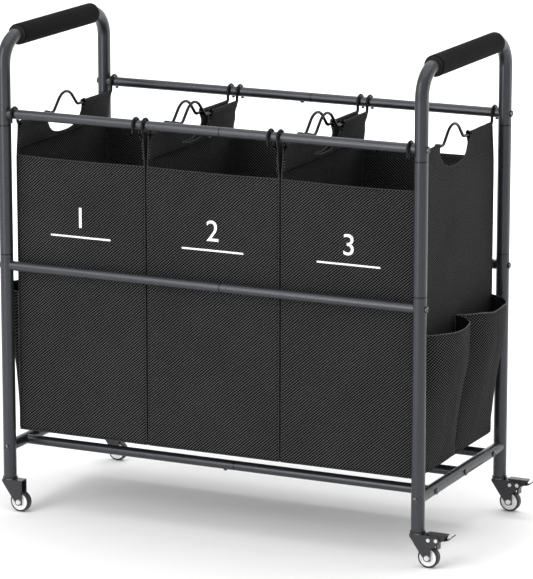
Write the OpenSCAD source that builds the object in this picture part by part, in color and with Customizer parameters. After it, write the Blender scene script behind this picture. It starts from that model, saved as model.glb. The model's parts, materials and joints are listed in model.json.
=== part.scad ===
// Laundry sorter on wheels: a knock-down tube frame on four swivel casters,
// with three fabric bags that hang on wire hangers from the two top rails.
// The origin is on the floor, under the middle of the whole sorter. The front faces -Y.

/* [Frame] */
// Distance between the axes of the left and right posts
post_spacing_x = 740; // [700:1:900]
// Distance between the axes of the front and back posts
post_spacing_y = 351; // [320:1:460]
// Outside diameter of the lengthwise rails
rail_d = 16; // [14:0.5:19]
// How much wider the two low side rails are than the lengthwise rails
side_rail_step = 3; // [2:0.5:5]
// How much wider the posts are than the low side rails
post_step = 3; // [2:0.5:5]
// Wall of every tube
tube_wall = 1.2; // [1:0.1:1.8]
// Height of the posts' lower ends above the wheels
caster_rise = 23; // [22:0.5:40]
// Height of the joint between lower and middle posts
lower_joint_z = 439.8; // [400:0.1:470]
// Height of the joint between middle posts and handle tubes
upper_joint_z = 655.5; // [620:0.5:720]
// Axis height of the low rails
low_rail_z = 110.4; // [100:0.1:130]
// Distance of the outer low rails from the middle one
low_rail_pitch = 123; // [80:1:140]
// How far the middle rails sit below the lower joint
middle_rail_drop = 19.8; // [16:0.1:30]
// How far the top rails sit above the upper joint
top_rail_rise = 18.8; // [14:0.1:24]
// Length of a spigot that joins two tubes
spigot_length = 36; // [30:1:45]
// How far right of the middle the rail seams are
seam_offset = 23; // [0:1:40]

/* [Handles] */
// Height of the hand grips' axes above the upper joint
handle_rise = 142.5; // [120:0.5:220]
// Bend radius of the handle tubes
handle_bend_r = 45; // [36:1:60]
// Wall of the foam grips
foam_wall = 6.5; // [5:0.5:9]
// Gap between a foam grip's ends and the bends
grip_end_gap = 0.5; // [0.5:0.5:40]

/* [Casters] */
// Wheel diameter
wheel_d = 35; // [30:0.5:50]
// Wheel width
wheel_width = 13; // [11:0.5:18]
// Thickness of the tyre
tyre_wall = 3.4; // [2.5:0.1:4.5]
// How far the axle trails behind the stem
caster_trail = 20; // [17:0.5:24]
// Diameter of the axles
axle_d = 5; // [4:0.5:6]
// Diameter of the caster stems
stem_d = 8; // [7:0.5:10]
// Sheet thickness of the forks
fork_sheet = 1.8; // [1.5:0.1:2.4]

/* [Brakes] */
// Distance of the pedal's pivot behind the axle
pivot_back = 15; // [13:0.5:18]
// Depth of the pedal's pivot below the posts' feet
pivot_drop = 10.4; // [9:0.1:12.5]
// Length of the pedal behind its pivot
pedal_length = 28; // [23:1:34]

/* [Bags] */
// Gap between neighbouring bags
bag_gap = 3; // [2:0.5:8]
// Gap between the end bags and the posts
bag_side_gap = 0.5; // [0.5:0.5:8]
// Height of the bags' floors above the low rails
bag_clearance = 19.6; // [10:0.1:60]
// Depth of the front and back panels' top edges below the wires
panel_drop = 53.8; // [48:0.1:80]
// Thickness of the fabric panels
fabric = 2.2; // [1.5:0.1:3]
// Half width of the notch in a side panel
notch_half_width = 63; // [52:1:76]
// Depth of that notch below the wire
notch_depth = 38.5; // [30:0.5:46]
// How far a full pocket stands out from its bag
pocket_bulge = 48; // [30:1:60]
// Height of the pockets' rims above the bags' floors
pocket_height = 234; // [160:1:300]

/* [Hanger wires] */
// Diameter of the hanger wires
wire_d = 5; // [4:0.5:6]
// Distance of a wire from the side of its bag
wire_inset = 7; // [6:0.5:12]
// Depth of the wire's straight runs below the rails' axes
wire_drop = 17.5; // [16:0.5:22]
// Rise of the wire handles above the straight runs
arch_rise = 27.5; // [22:0.5:34]

/* [Hidden] */
$fn = 64;

frame_grey = [0.30, 0.30, 0.31];
foam_black = [0.13, 0.13, 0.13];
cloth_black = [0.17, 0.17, 0.18];
wire_black = [0.08, 0.08, 0.08];
plate_grey = [0.26, 0.26, 0.28];
hub_white = [0.93, 0.93, 0.92];
steel = [0.75, 0.75, 0.77];

seat_gap = 0.05;      // radial gap where one piece is pushed into another
touch_gap = 0.1;      // gap between the faces of pieces that are screwed together
run_gap = 0.05;       // radial gap of a turning fit
moving_gap = 0.3;     // gap between faces that move past each other
cut = 1;              // how far a cutting shape runs past a face

side_rail_d = rail_d + side_rail_step;
post_d = side_rail_d + post_step;
post_x = post_spacing_x / 2;
post_y = post_spacing_y / 2;
post_foot_z = wheel_d + caster_rise;
post_r = post_d / 2;
rail_r = rail_d / 2;
side_rail_r = side_rail_d / 2;
post_bore_r = post_r - tube_wall;
rail_bore_r = rail_r - tube_wall;
side_rail_bore_r = side_rail_r - tube_wall;
middle_rail_z = lower_joint_z - middle_rail_drop;
top_rail_z = upper_joint_z + top_rail_rise;
handle_z = upper_joint_z + handle_rise;
grip_r = post_r + foam_wall;
bend_y = post_y - handle_bend_r;
bend_z = handle_z - handle_bend_r;
grip_length = 2 * (bend_y - grip_end_gap);

screw_r = 3;
screw_hole_r = screw_r + touch_gap;
screw_length = 34;
screw_head_r = 5.2;
screw_head_h = 3;
screw_recess_r = 2.2;
insert_length = 22;
joint_screw_r = 2;
joint_screw_head_r = 3.8;
joint_screw_head_h = 1.8;
joint_screw_length = 13;

wheel_r = wheel_d / 2;
hub_r = wheel_r - tyre_wall;
axle_r = axle_d / 2;
stem_r = stem_d / 2;
flange_r = post_r + 1.5;
flange_h = 2.5;
washer_h = 0.8;
washer_r = post_r - 0.5;
fork_top_z = post_foot_z - flange_h - washer_h - moving_gap;
wheel_side_gap = 0.8;
fork_inner_y = wheel_width / 2 + wheel_side_gap;
fork_outer_y = fork_inner_y + fork_sheet;
fork_nose = 3.7;                   // how far the fork reaches past its own half width in front
fork_front_x = -(fork_inner_y + fork_nose);
fork_lobe_r = 7.5;
fork_rear_x = caster_trail + fork_lobe_r - fork_sheet;
axle_head_r = 5;
axle_head_h = 2.4;
head_chamfer = 0.8;
stem_length = 34;
stem_head_h = 2.4;
stem_head_r = fork_inner_y - moving_gap;
socket_length = 30;

pedal_sheet = 1.3;
pedal_half_width = fork_inner_y - 0.4;
pivot_x = caster_trail + pivot_back;
pivot_z = post_foot_z - pivot_drop;
pedal_reach = pivot_x + pedal_length;
pedal_hood_x = 18;
pedal_hood_z = post_foot_z - 0.6;
pedal_hood_length = 34;
pin_spacing = 13.1;                // distance between the brake's two pins
rest_pin_x = pivot_x - pin_spacing;
rest_pin_z = pivot_z - 0.5;
pin_r = 2.4;
pin_head_r = 3.1;
pin_head_h = 1.1;
brake_lobe_r = 6.4;
shoe_gap = 0.55;                   // gap between the brake shoe and the tyre
shoe_length = norm([pivot_x - caster_trail, pivot_z - wheel_r]) - wheel_r - shoe_gap;

wire_r = wire_d / 2;
hook_r = rail_r + wire_r + moving_gap;
wire_run_z = top_rail_z - wire_drop;
wire_bend_r = 6;
sleeve_overhang = 0.3;
sleeve_wall = 1.4;
wire_run_y = post_y - hook_r - wire_bend_r;
hook_tip_drop = rail_r + 5;
bead_gap = 0.03;
arch_top_r = 34;
arch_foot_r = 12;
arch_slope = 45;
arch_leg = (arch_rise - (arch_top_r + arch_foot_r) * (1 - cos(arch_slope))) / sin(arch_slope);
arch_half_width = (arch_top_r + arch_foot_r) * sin(arch_slope) + arch_leg * cos(arch_slope);

bag_pitch = (post_spacing_x - post_d - 2 * bag_side_gap + bag_gap) / 3;
bag_width = bag_pitch - bag_gap;
bag_half_width = bag_width / 2;
bag_half_depth = wire_run_y + sleeve_overhang;
bag_floor_z = low_rail_z + rail_r + bag_clearance;
bag_panel_z = wire_run_z - panel_drop;
wire_offset = bag_half_width - wire_inset;
sleeve_bore_r = wire_r + moving_gap;
sleeve_r = sleeve_bore_r + sleeve_wall;
splay_start_z = bag_panel_z - 8;   // where the side panels start to splay out to the wires
corner_drop = 4;                   // how far below that the front panels stop at full width
notch_corner_r = 38;
slice_h = 0.5;
pocket_corner_inset = 2;
pocket_foot_bulge = 6;
belly_fullness = 0.9;              // bulge of a pocket's belly as a share of its rim's
belly_level = 0.68;                // height of the belly as a share of the pocket's
pocket_belly_bulge = pocket_bulge * belly_fullness;
pocket_belly_z = bag_floor_z + pocket_height * belly_level;
pocket_foot_z = bag_floor_z + 4;
pocket_rim_z = bag_floor_z + pocket_height;
pocket_width = bag_half_depth - 2 * pocket_corner_inset;

// The sorter is centred on its own outline: the pockets on the left, the pedals on the right
outline_left = -(bag_pitch + bag_half_width + pocket_bulge);
outline_right = post_x + pedal_reach;
shift_x = -(outline_left + outline_right) / 2;

LEFT = -1;
RIGHT = 1;
FRONT = -1;
BACK = 1;

module placed() { translate([shift_x, 0, 0]) children(); }

module along_x(length, r) { rotate([0, 90, 0]) cylinder(h = length, r = r); }

module along_y(length, r) { rotate([-90, 0, 0]) cylinder(h = length, r = r); }

// ---------------------------------------------------------------- frame tubes

module post_at(side, end) { translate([side * post_x, end * post_y, 0]) children(); }

// A straight post section with a reduced spigot on top
module post_section(foot_z, joint_z) {
    difference() {
        union() {
            translate([0, 0, foot_z]) cylinder(h = joint_z - foot_z - touch_gap, r = post_r);
            translate([0, 0, foot_z])
                cylinder(h = joint_z - foot_z + spigot_length, r = post_bore_r - seat_gap);
        }
        translate([0, 0, foot_z - cut])
            cylinder(h = joint_z - foot_z - tube_wall * 4 + cut, r = post_bore_r);
        translate([0, 0, foot_z])
            cylinder(h = joint_z - foot_z + spigot_length + cut, r = post_bore_r - seat_gap - tube_wall);
    }
}

// A hole for a rail screw, through both walls of a post along X
module rail_screw_hole(z) {
    translate([-post_r - cut, 0, z]) along_x(post_d + 2 * cut, screw_hole_r);
}

module middle_post(side, end) color(frame_grey) placed() post_at(side, end)
    difference() {
        post_section(lower_joint_z, upper_joint_z);
        rail_screw_hole(top_rail_z);
    }

module lower_post(side, end) color(frame_grey) placed() post_at(side, end)
    difference() {
        post_section(post_foot_z, lower_joint_z);
        rail_screw_hole(middle_rail_z);
        translate([0, -post_r - cut, low_rail_z]) along_y(post_d + 2 * cut, screw_hole_r);
    }

// The centre line of a handle: two uprights, two bends and the bar under the grip
module handle_solid(r) {
    for (end = [FRONT, BACK]) {
        translate([0, end * post_y, upper_joint_z]) cylinder(h = bend_z - upper_joint_z, r = r);
        translate([0, end * bend_y, bend_z]) rotate([90, 0, end * 90])
            rotate_extrude(angle = 90) translate([handle_bend_r, 0]) circle(r = r);
    }
    translate([0, -bend_y, handle_z]) along_y(2 * bend_y, r);
}

module handle_tube(side) color(frame_grey) placed() translate([side * post_x, 0, 0])
    difference() {
        handle_solid(post_r);
        handle_solid(post_bore_r);
        for (end = [FRONT, BACK]) translate([0, end * post_y, 0]) {
            rail_screw_hole(top_rail_z);
            translate([0, 0, upper_joint_z - cut]) cylinder(h = 2 * cut, r = post_bore_r);
        }
    }

module foam_grip(side) color(foam_black) placed()
    translate([side * post_x, -grip_length / 2, handle_z]) rotate([-90, 0, 0])
        rotate_extrude() difference() {
            rounded_grip_section();
            square([post_r + seat_gap, grip_length]);
        }

// Half section of the grip, with soft corners at both ends
module rounded_grip_section() {
    corner = 4;
    square([grip_r - corner, grip_length]);
    translate([0, corner]) square([grip_r, grip_length - 2 * corner]);
    for (y = [corner, grip_length - corner]) translate([grip_r - corner, y]) circle(r = corner);
}

// ---------------------------------------------------------------- rails

// Left half of a lengthwise rail, from one end face to the seam
module rail_half_left(end_x, holes_r) {
    difference() {
        translate([-end_x, 0, 0]) along_x(end_x + seam_offset, rail_r);
        translate([-end_x - cut, 0, 0]) along_x(end_x + seam_offset + 2 * cut, rail_bore_r);
        translate([seam_offset - spigot_length / 2, 0, -rail_r - cut])
            cylinder(h = rail_r, r = holes_r);
    }
}

// Right half, with the spigot that enters the left half
module rail_half_right(end_x, holes_r) {
    difference() {
        union() {
            translate([seam_offset + touch_gap, 0, 0])
                along_x(end_x - seam_offset - touch_gap, rail_r);
            translate([seam_offset - spigot_length, 0, 0])
                along_x(end_x - seam_offset + spigot_length, rail_bore_r - seat_gap);
        }
        translate([seam_offset + tube_wall * 4, 0, 0])
            along_x(end_x - seam_offset, rail_bore_r);
        translate([seam_offset - spigot_length - cut, 0, 0])
            along_x(end_x - seam_offset + spigot_length + 2 * cut, rail_bore_r - seat_gap - tube_wall);
        translate([seam_offset - spigot_length / 2, 0, -rail_r - cut])
            cylinder(h = rail_r, r = holes_r);
    }
}

// Rails between the posts are coped so that their ends sit on the round posts
module post_rail(side, end, z) color(frame_grey) placed()
    difference() {
        translate([0, end * post_y, z])
            if (side == LEFT) rail_half_left(post_x, joint_screw_r + touch_gap);
            else rail_half_right(post_x, joint_screw_r + touch_gap);
        post_at(side, end) translate([0, 0, z - post_d]) cylinder(h = 2 * post_d, r = post_r + touch_gap);
    }

// The low rails are coped on the side rails
module low_rails(side) color(frame_grey) placed()
    for (row = [-1, 0, 1]) difference() {
        translate([0, row * low_rail_pitch, low_rail_z])
            if (side == LEFT) rail_half_left(post_x, joint_screw_r + touch_gap);
            else rail_half_right(post_x, joint_screw_r + touch_gap);
        translate([side * post_x, row * low_rail_pitch - side_rail_d, low_rail_z])
            along_y(2 * side_rail_d, side_rail_r + touch_gap);
    }

module side_rail(side) color(frame_grey) placed()
    difference() {
        translate([side * post_x, -post_y, low_rail_z]) along_y(2 * post_y, side_rail_r);
        translate([side * post_x, -post_y - cut, low_rail_z]) along_y(2 * post_y + 2 * cut, side_rail_bore_r);
        for (end = [FRONT, BACK]) post_at(side, end) translate([0, 0, low_rail_z - post_d])
            cylinder(h = 2 * post_d, r = post_r + touch_gap);
        for (row = [-1, 0, 1])
            translate([side * post_x - side_rail_d, row * low_rail_pitch, low_rail_z])
                along_x(2 * side_rail_d, screw_hole_r);
    }

// ---------------------------------------------------------------- screws and inserts

// A threaded insert inside the end of a tube, from a face at z = 0 upwards
module insert(tube_bore_r) {
    difference() {
        cylinder(h = insert_length, r = tube_bore_r - seat_gap);
        translate([0, 0, -cut]) cylinder(h = insert_length + 2 * cut, r = screw_r + seat_gap);
    }
}

insert_inset = post_r + 2;
side_insert_inset = side_rail_r + 2;

module threaded_inserts() color(plate_grey) placed() {
    for (side = [LEFT, RIGHT], end = [FRONT, BACK]) post_at(side, end) {
        for (z = [top_rail_z, middle_rail_z])
            translate([-side * insert_inset, 0, z]) rotate([0, -side * 90, 0]) insert(rail_bore_r);
        translate([0, -end * insert_inset, low_rail_z]) rotate([end * 90, 0, 0]) insert(side_rail_bore_r);
    }
    for (side = [LEFT, RIGHT], row = [-1, 0, 1])
        translate([side * (post_x - side_insert_inset), row * low_rail_pitch, low_rail_z])
            rotate([0, -side * 90, 0]) insert(rail_bore_r);
}

// A domed screw with a cross recess; the head's seat is at z = 0 and the shank runs down
module frame_screw(length) {
    difference() {
        union() {
            translate([0, 0, -length]) cylinder(h = length + cut, r = screw_r);
            intersection() {
                cylinder(h = screw_head_h, r = screw_head_r);
                translate([0, 0, screw_head_h - 2 * screw_head_r]) sphere(r = 2 * screw_head_r);
            }
        }
        for (turn = [0, 90]) rotate([0, 0, turn])
            translate([-screw_recess_r, -0.5, screw_head_h - 1.6]) cube([2 * screw_recess_r, 1, 3]);
    }
}

module rail_end_screws() color(plate_grey) placed()
    for (side = [LEFT, RIGHT], end = [FRONT, BACK], z = [top_rail_z, middle_rail_z])
        post_at(side, end) translate([side * (post_r + touch_gap), 0, z])
            rotate([0, side * 90, 0]) frame_screw(screw_length + post_r);

module side_rail_screws() color(plate_grey) placed()
    for (side = [LEFT, RIGHT], end = [FRONT, BACK])
        post_at(side, end) translate([0, end * (post_r + touch_gap), low_rail_z])
            rotate([-end * 90, 0, 0]) frame_screw(screw_length + post_r);

module low_rail_screws() color(plate_grey) placed()
    for (side = [LEFT, RIGHT], row = [-1, 0, 1])
        translate([side * (post_x + side_rail_r + touch_gap), row * low_rail_pitch, low_rail_z])
            rotate([0, side * 90, 0]) frame_screw(screw_length + side_rail_r);

// Small screws from below that lock the two halves of each rail
module joint_screw() {
    translate([0, 0, -rail_r - touch_gap - joint_screw_head_h])
        cylinder(h = joint_screw_head_h, r1 = joint_screw_head_r - 1, r2 = joint_screw_head_r);
    translate([0, 0, -rail_r - touch_gap - cut]) cylinder(h = joint_screw_length, r = joint_screw_r);
}

module rail_joint_screws() color(plate_grey) placed() {
    x = seam_offset - spigot_length / 2;
    for (end = [FRONT, BACK], z = [top_rail_z, middle_rail_z])
        translate([x, end * post_y, z]) joint_screw();
    for (row = [-1, 0, 1]) translate([x, row * low_rail_pitch, low_rail_z]) joint_screw();
}

// ---------------------------------------------------------------- casters

module at_each_post() for (side = [LEFT, RIGHT], end = [FRONT, BACK]) post_at(side, end) children();

// Plastic plug in the foot of each post, with a flange that the post stands on
module caster_sockets() color(foam_black) placed() at_each_post()
    difference() {
        union() {
            translate([0, 0, post_foot_z - flange_h]) cylinder(h = flange_h - touch_gap, r = flange_r);
            translate([0, 0, post_foot_z - flange_h])
                cylinder(h = flange_h + socket_length, r = post_bore_r - seat_gap);
        }
        translate([0, 0, post_foot_z - flange_h - cut])
            cylinder(h = flange_h + socket_length + 2 * cut, r = stem_r + seat_gap);
    }

// Steel stem, with the head that holds the fork up
module caster_stems() color(steel) placed() at_each_post() {
    translate([0, 0, fork_top_z - fork_sheet - moving_gap - stem_head_h])
        cylinder(h = stem_head_h, r = stem_head_r);
    translate([0, 0, fork_top_z - fork_sheet - moving_gap - cut])
        cylinder(h = stem_length, r = stem_r);
}

module caster_washers() color(steel) placed() at_each_post()
    difference() {
        translate([0, 0, fork_top_z + moving_gap]) cylinder(h = washer_h - touch_gap, r = washer_r);
        translate([0, 0, fork_top_z]) cylinder(h = 2 * washer_h, r = stem_r + seat_gap);
    }

// Outline of a fork's side plate, in X and Z from the stem's foot
module side_plate_outline(braked) {
    front_edge = 4;                           // height of the upright front edge
    neck_x = caster_trail - fork_lobe_r - 7;  // where the front slope steepens towards the axle
    neck_z = wheel_r + 9;
    lobe_foot_z = wheel_r - 5;                // flat lower edge under the axle
    web_drop = 8;                             // how far the brake web runs down the rear edge
    lobe_inset = 0.8;                         // how far the round lobe sits in front of the axle
    difference() {
        union() {
            polygon([[fork_front_x, fork_top_z], [fork_front_x, fork_top_z - front_edge],
                [neck_x, neck_z], [caster_trail - fork_lobe_r, wheel_r],
                [caster_trail - fork_lobe_r + 2, lobe_foot_z], [fork_rear_x, lobe_foot_z],
                [fork_rear_x, fork_top_z]]);
            translate([caster_trail - lobe_inset, wheel_r]) circle(r = fork_lobe_r - 1);
            if (braked) {
                translate([pivot_x, pivot_z]) circle(r = brake_lobe_r);
                polygon([[fork_rear_x - cut, fork_top_z - 3],
                    [pivot_x, pivot_z + brake_lobe_r],
                    [pivot_x, pivot_z - brake_lobe_r], [pivot_x - 3, pivot_z - brake_lobe_r - 6],
                    [fork_rear_x - cut, pivot_z - brake_lobe_r - web_drop]]);
            }
        }
        translate([caster_trail, wheel_r]) circle(r = axle_r + seat_gap);
        if (braked) for (p = [[pivot_x, pivot_z], [rest_pin_x, rest_pin_z]])
            translate(p) circle(r = pin_r + seat_gap);
    }
}

// A bent sheet fork: a top plate on the stem and a side plate on each side of the wheel
module fork(side, end, braked) color(plate_grey) placed() post_at(side, end) {
    plate_rear_x = braked ? pedal_hood_x - 1.5 : fork_rear_x;
    for (y = [-fork_outer_y, fork_inner_y])
        translate([0, y + fork_sheet, 0]) rotate([90, 0, 0])
            linear_extrude(fork_sheet) side_plate_outline(braked);
    difference() {
        translate([fork_front_x, -fork_outer_y, fork_top_z - fork_sheet])
            cube([plate_rear_x - fork_front_x, 2 * fork_outer_y, fork_sheet]);
        translate([0, 0, fork_top_z - fork_sheet - cut])
            cylinder(h = fork_sheet + 2 * cut, r = stem_r + run_gap);
    }
}

module at_axle(side, end) {
    post_at(side, end) translate([caster_trail, 0, wheel_r]) rotate([-90, 0, 0]) children();
}

// Tyre with a rounded tread, on the rim of the hub
module tyre(side, end) color(foam_black) placed() at_axle(side, end)
    rotate_extrude() {
        shoulder = 2.6;
        half = wheel_width / 2;
        difference() {
            union() {
                translate([hub_r + seat_gap, -half]) square([tyre_wall - shoulder, wheel_width]);
                translate([hub_r + seat_gap, shoulder - half])
                    square([tyre_wall - seat_gap, wheel_width - 2 * shoulder]);
                for (z = [shoulder - half, half - shoulder])
                    translate([wheel_r - shoulder, z]) circle(r = shoulder);
            }
            translate([0, -half]) square([hub_r + seat_gap, wheel_width]);
        }
    }

// Hub with a dished face, a solid web and a long boss round the axle
module hub(side, end) color(hub_white) placed() at_axle(side, end) {
    half = wheel_width / 2 - moving_gap;
    dish = 1.4;
    rotate_extrude() polygon([[axle_r + run_gap, -half], [axle_r + 3.2, -half], [axle_r + 4, dish - half],
        [hub_r - 2.4, dish - half], [hub_r - 1.6, -half], [hub_r, -half],
        [hub_r, half], [hub_r - 1.6, half], [hub_r - 2.4, half - dish],
        [axle_r + 4, half - dish], [axle_r + 3.2, half], [axle_r + run_gap, half]]);
}

// Axle bolt with a round head in front and a nut behind
module axle(side, end) color(steel) placed() at_axle(side, end) {
    head_z = fork_outer_y + touch_gap;
    translate([0, 0, -head_z - axle_head_h / 2]) cylinder(h = 2 * head_z + axle_head_h, r = axle_r);
    translate([0, 0, -head_z - axle_head_h])
        cylinder(h = axle_head_h, r1 = axle_head_r - head_chamfer, r2 = axle_head_r);
    translate([0, 0, head_z]) cylinder(h = axle_head_h, r = axle_head_r, $fn = 6);
}

// The pedal: a hood over the fork, two cheeks on the pivot, a shoe over the tyre and a turned-up tip
module brake_pedal(end) color(foam_black) placed() post_at(RIGHT, end) {
    hood_end_x = pedal_hood_x + pedal_hood_length;
    tip_r = 20;
    tip_turn = 58;
    tip_x = pedal_reach - tip_r * sin(tip_turn);
    tip_z = pedal_hood_z - 9.5;
    translate([pedal_hood_x, -pedal_half_width, pedal_hood_z - pedal_sheet])
        cube([pedal_hood_length, 2 * pedal_half_width, pedal_sheet]);
    difference() {
        for (y = [-pedal_half_width, pedal_half_width - pedal_sheet])
            translate([0, y + pedal_sheet, 0]) rotate([90, 0, 0]) linear_extrude(pedal_sheet)
                pedal_cheek_outline(hood_end_x);
        translate([pivot_x, -pedal_half_width - cut, pivot_z])
            along_y(2 * pedal_half_width + 2 * cut, pin_r + run_gap);
    }
    translate([pivot_x - 1, -pedal_half_width, pivot_z - shoe_length])
        cube([3, 2 * pedal_half_width, shoe_length - pin_r - 1]);
    translate([tip_x, pedal_half_width, tip_z + tip_r]) rotate([90, 0, 0])
        linear_extrude(2 * pedal_half_width) intersection() {
            difference() {
                circle(r = tip_r);
                circle(r = tip_r - pedal_sheet);
            }
            polygon([[0, 0], [-0.6 * tip_r, -2 * tip_r], [0, -2 * tip_r],
                [2 * tip_r * sin(tip_turn), -2 * tip_r * cos(tip_turn)]]);
        }
}

module pedal_cheek_outline(hood_end_x) {
    circle_r = pin_r + 3;
    translate([pivot_x, pivot_z]) circle(r = circle_r);
    polygon([[pivot_x - circle_r, pivot_z], [pedal_hood_x + 8, pedal_hood_z - 5],
        [pedal_hood_x + 2, pedal_hood_z - pedal_sheet / 2], [hood_end_x, pedal_hood_z - pedal_sheet / 2],
        [hood_end_x - 5, pedal_hood_z - 9.3], [pivot_x + circle_r, pivot_z - 2]]);
}

// The pedal's pivot pin and the spacer pin beside it, both riveted over the fork
module brake_pins(end) color(steel) placed() post_at(RIGHT, end)
    for (p = [[pivot_x, pivot_z], [rest_pin_x, rest_pin_z]]) translate([p[0], 0, p[1]]) {
        half = fork_outer_y + touch_gap;
        translate([0, -half - pin_head_h / 2, 0]) along_y(2 * half + pin_head_h, pin_r);
        for (y = [-half - pin_head_h, half]) translate([0, y, 0]) along_y(pin_head_h, pin_head_r);
    }

// ---------------------------------------------------------------- bags

// Half section of one side panel, from the wire sleeve down to the floor
module side_panel_section() {
    inner = bag_half_width - fabric;
    polygon([[wire_offset - sleeve_bore_r, wire_run_z - sleeve_bore_r / 2],
        [wire_offset + sleeve_r, wire_run_z], [bag_half_width, splay_start_z],
        [bag_half_width, bag_floor_z], [inner, bag_floor_z],
        [inner, splay_start_z], [wire_offset + sleeve_bore_r - 1, wire_run_z - sleeve_r]]);
}

// Notch for the hand under a wire handle
module notch() {
    reach = notch_half_width - notch_corner_r;
    length = 4 * sleeve_r;
    translate([wire_offset - length / 2, 0, wire_run_z - notch_depth + notch_corner_r])
        for (y = [-reach, reach]) translate([0, y, 0]) along_x(length, notch_corner_r);
    translate([wire_offset - length / 2, -reach, wire_run_z - notch_depth])
        cube([length, 2 * reach, notch_depth]);
    translate([wire_offset - length / 2, -notch_half_width, wire_run_z - notch_depth + notch_corner_r])
        cube([length, 2 * notch_half_width, notch_depth]);
}

module bag(column) color(cloth_black) placed() translate([column * bag_pitch, 0, 0]) {
    for (side = [LEFT, RIGHT]) scale([side, 1, 1]) difference() {
        union() {
            translate([0, bag_half_depth, 0]) rotate([90, 0, 0])
                linear_extrude(2 * bag_half_depth) side_panel_section();
            translate([wire_offset, -bag_half_depth, wire_run_z]) along_y(2 * bag_half_depth, sleeve_r);
        }
        translate([wire_offset, -bag_half_depth - cut, wire_run_z])
            along_y(2 * bag_half_depth + 2 * cut, sleeve_bore_r);
        notch();
    }
    for (y = [-bag_half_depth, bag_half_depth - fabric])
        translate([-bag_half_width, y, bag_floor_z])
            cube([bag_width, fabric, splay_start_z - corner_drop - bag_floor_z]);
    for (y = [-bag_half_depth, bag_half_depth - fabric])
        translate([-bag_half_width + fabric, y, splay_start_z - corner_drop - cut])
            cube([bag_width - 2 * fabric, fabric, bag_panel_z - splay_start_z + corner_drop + cut]);
    translate([-bag_half_width, -bag_half_depth, bag_floor_z])
        cube([bag_width, 2 * bag_half_depth, fabric]);
}

// A quarter-turn or less of wire, bent in the YZ plane about a centre
module wire_bend(centre_y, centre_z, r, from, turn) {
    translate([0, centre_y, centre_z]) rotate([90, 0, 90]) rotate([0, 0, from])
        rotate_extrude(angle = turn) translate([r, 0]) circle(r = wire_r);
}

// A straight stretch of wire in the YZ plane from a point, rising at an angle from +Y
module wire_run(y, z, angle, length) {
    translate([0, y, z]) rotate([angle - 90, 0, 0]) translate([0, 0, bead_gap])
        cylinder(h = length - 2 * bead_gap, r = wire_r);
}

// The weld bead that closes the gap between two stretches of wire
module wire_bead(y, z) translate([0, y, z]) sphere(r = wire_r + bead_gap);

// One side of a hanger wire: half the handle's leg and foot, the run in the sleeve and the hook
module wire_side() {
    leg_y = arch_top_r * sin(arch_slope);
    leg_z = wire_run_z + arch_rise - arch_top_r * (1 - cos(arch_slope));
    foot_y = leg_y + arch_leg * cos(arch_slope);
    foot_z = leg_z - arch_leg * sin(arch_slope);
    riser_y = wire_run_y + wire_bend_r;
    riser_z = wire_run_z + wire_bend_r;
    wire_bead(leg_y, leg_z);
    wire_run(leg_y, leg_z, -arch_slope, arch_leg);
    wire_bead(foot_y, foot_z);
    wire_bend(arch_half_width, wire_run_z + arch_foot_r, arch_foot_r, 270 - arch_slope, arch_slope);
    wire_bead(arch_half_width, wire_run_z);
    wire_run(arch_half_width, wire_run_z, 0, wire_run_y - arch_half_width);
    wire_bead(wire_run_y, wire_run_z);
    wire_bend(wire_run_y, riser_z, wire_bend_r, 270, 90);
    wire_bead(riser_y, riser_z);
    wire_run(riser_y, riser_z, 90, top_rail_z - riser_z);
    wire_bead(riser_y, top_rail_z);
    wire_bend(post_y, top_rail_z, hook_r, 0, 180);
    wire_bead(post_y + hook_r, top_rail_z);
    wire_run(post_y + hook_r, top_rail_z - hook_tip_drop, 90, hook_tip_drop);
}

module hanger_wire() {
    wire_bend(0, wire_run_z + arch_rise - arch_top_r, arch_top_r, 90 - arch_slope, 2 * arch_slope);
    wire_side();
    mirror([0, 1, 0]) wire_side();
}

module bag_wires(column) color(wire_black) placed()
    for (side = [LEFT, RIGHT])
        translate([column * bag_pitch + side * wire_offset, 0, 0]) hanger_wire();

// A flat slice of a pocket at height z: an arc that stands out by bulge over the pocket's width
module pocket_slice(z, bulge, inset) {
    half = pocket_width / 2 - inset;
    depth = bulge - inset;
    r = (half * half + depth * depth) / (2 * depth);
    translate([0, 0, z]) linear_extrude(slice_h) intersection() {
        translate([depth - r, 0]) circle(r = r, $fn = 96);
        translate([0, -half]) square([depth, 2 * half]);
    }
}

module pocket_body(inset, top_z) {
    hull() {
        pocket_slice(top_z, pocket_bulge, inset);
        pocket_slice(pocket_belly_z, pocket_belly_bulge, inset);
    }
    hull() {
        pocket_slice(pocket_belly_z, pocket_belly_bulge, inset);
        pocket_slice(pocket_foot_z + inset, pocket_foot_bulge, inset);
    }
}

// Two open pockets side by side on the outer panel of an end bag
module side_pockets(side) color(cloth_black) placed()
    scale([side, 1, 1]) translate([bag_pitch + bag_half_width, 0, 0])
        for (row = [-1, 1]) translate([0, row * bag_half_depth / 2, 0]) difference() {
            pocket_body(0, pocket_rim_z - slice_h);
            pocket_body(fabric, pocket_rim_z + cut);
        }

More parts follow.
